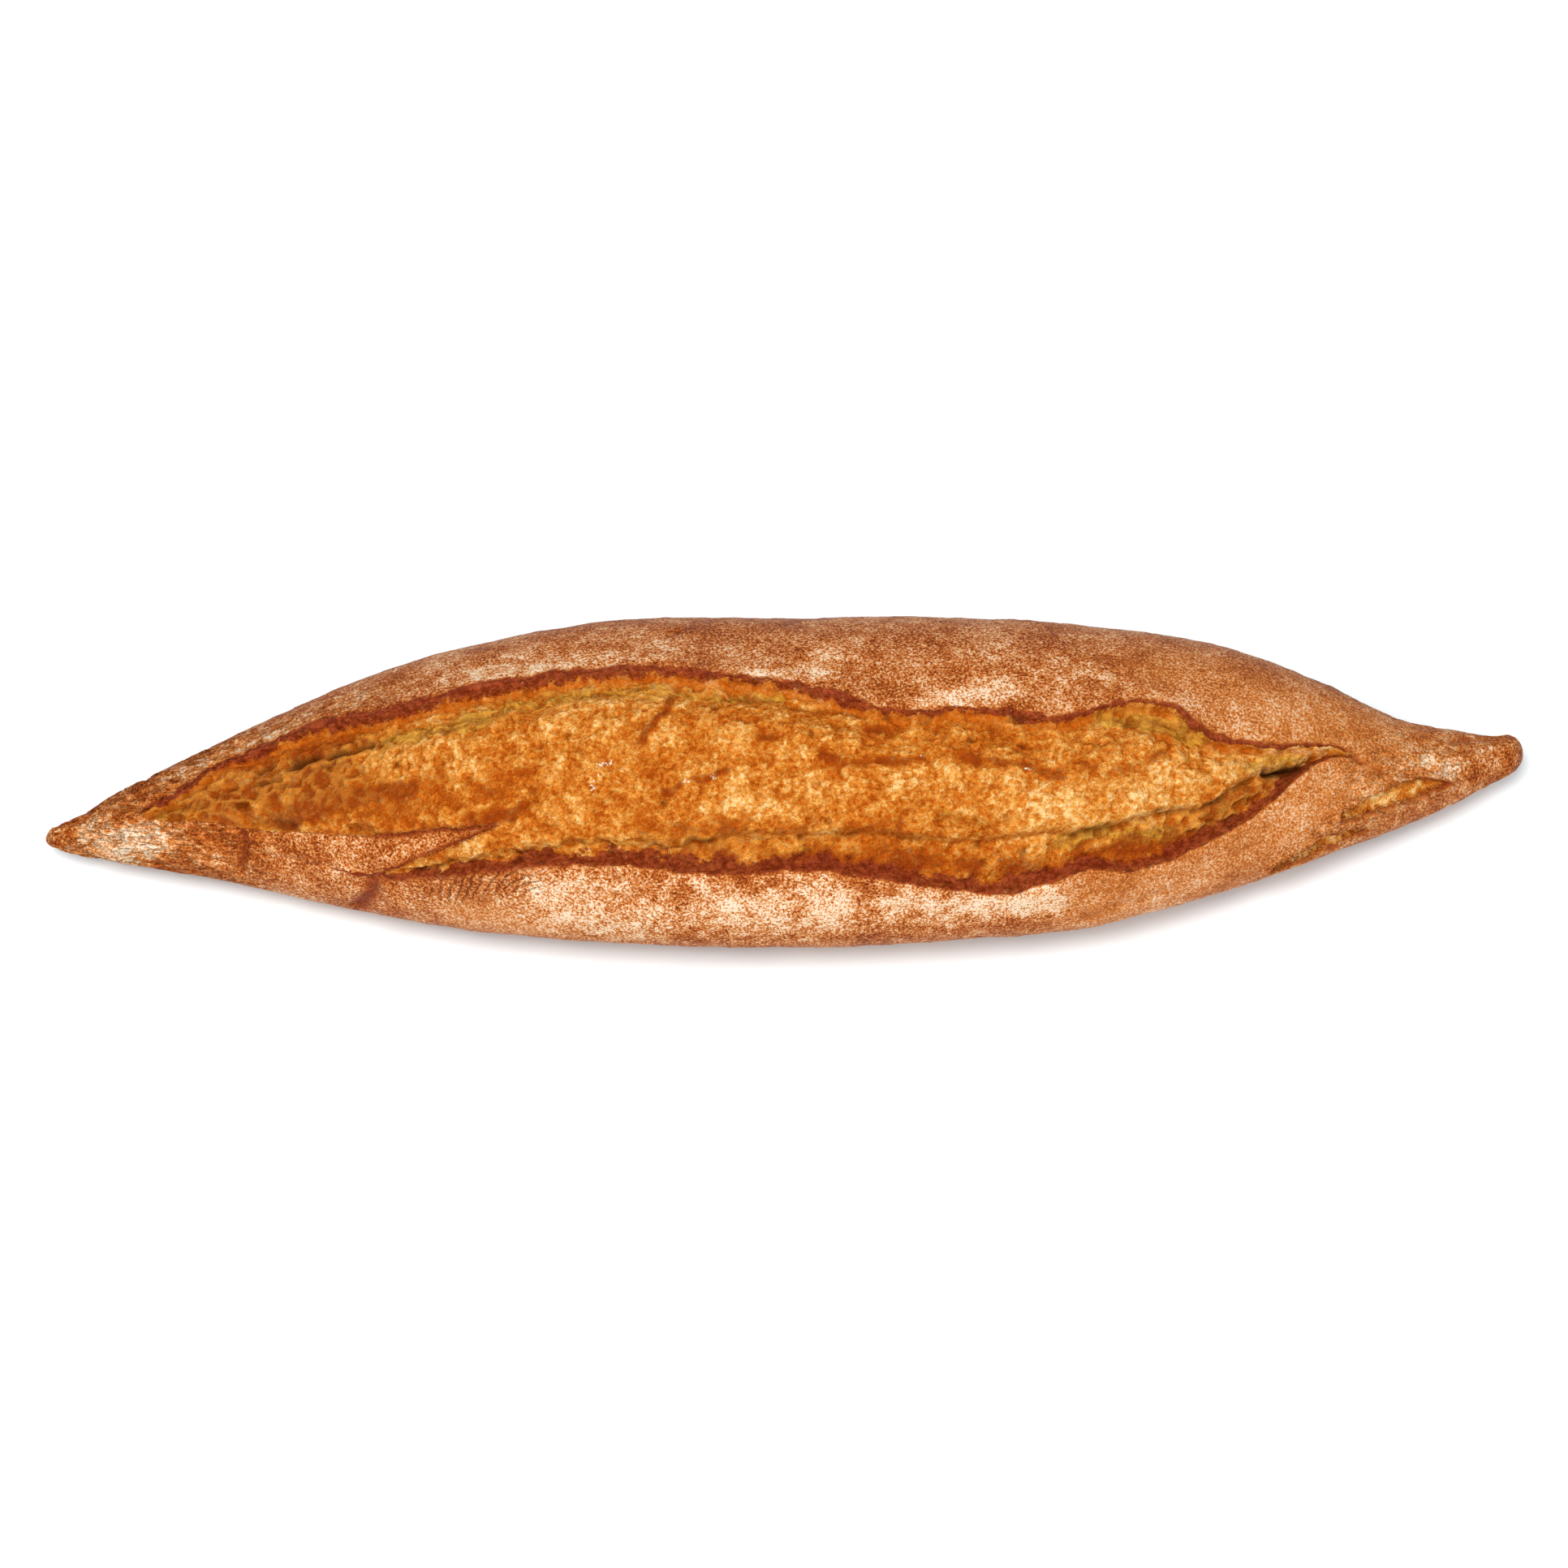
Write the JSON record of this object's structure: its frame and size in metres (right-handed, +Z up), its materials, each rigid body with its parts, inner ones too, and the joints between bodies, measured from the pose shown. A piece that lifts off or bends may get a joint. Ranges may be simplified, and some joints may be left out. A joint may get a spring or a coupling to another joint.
{
  "type": "baguette",
  "caption": "Rustic pointed baguette with one long slash opened along its top front side, showing golden crumb between floury crust lips; lies flat on its sole.",
  "frame": {"origin": "centre of the loaf's length and width, on the table plane under its flat sole", "axes": "+X along the loaf towards the tip that curves to the back, +Y to the back, away from the opened slash, +Z up from the sole"},
  "size_m": [0.4, 0.0936, 0.0618],
  "materials": {
    "baked_crust": "matt floury golden-brown crust, with a slightly glossier orange-gold torn crumb in the slash and dark reddish-brown baked lips"
  },
  "bodies": {
    "root": {"loaf": "baked_crust"}
  },
  "joints": []
}
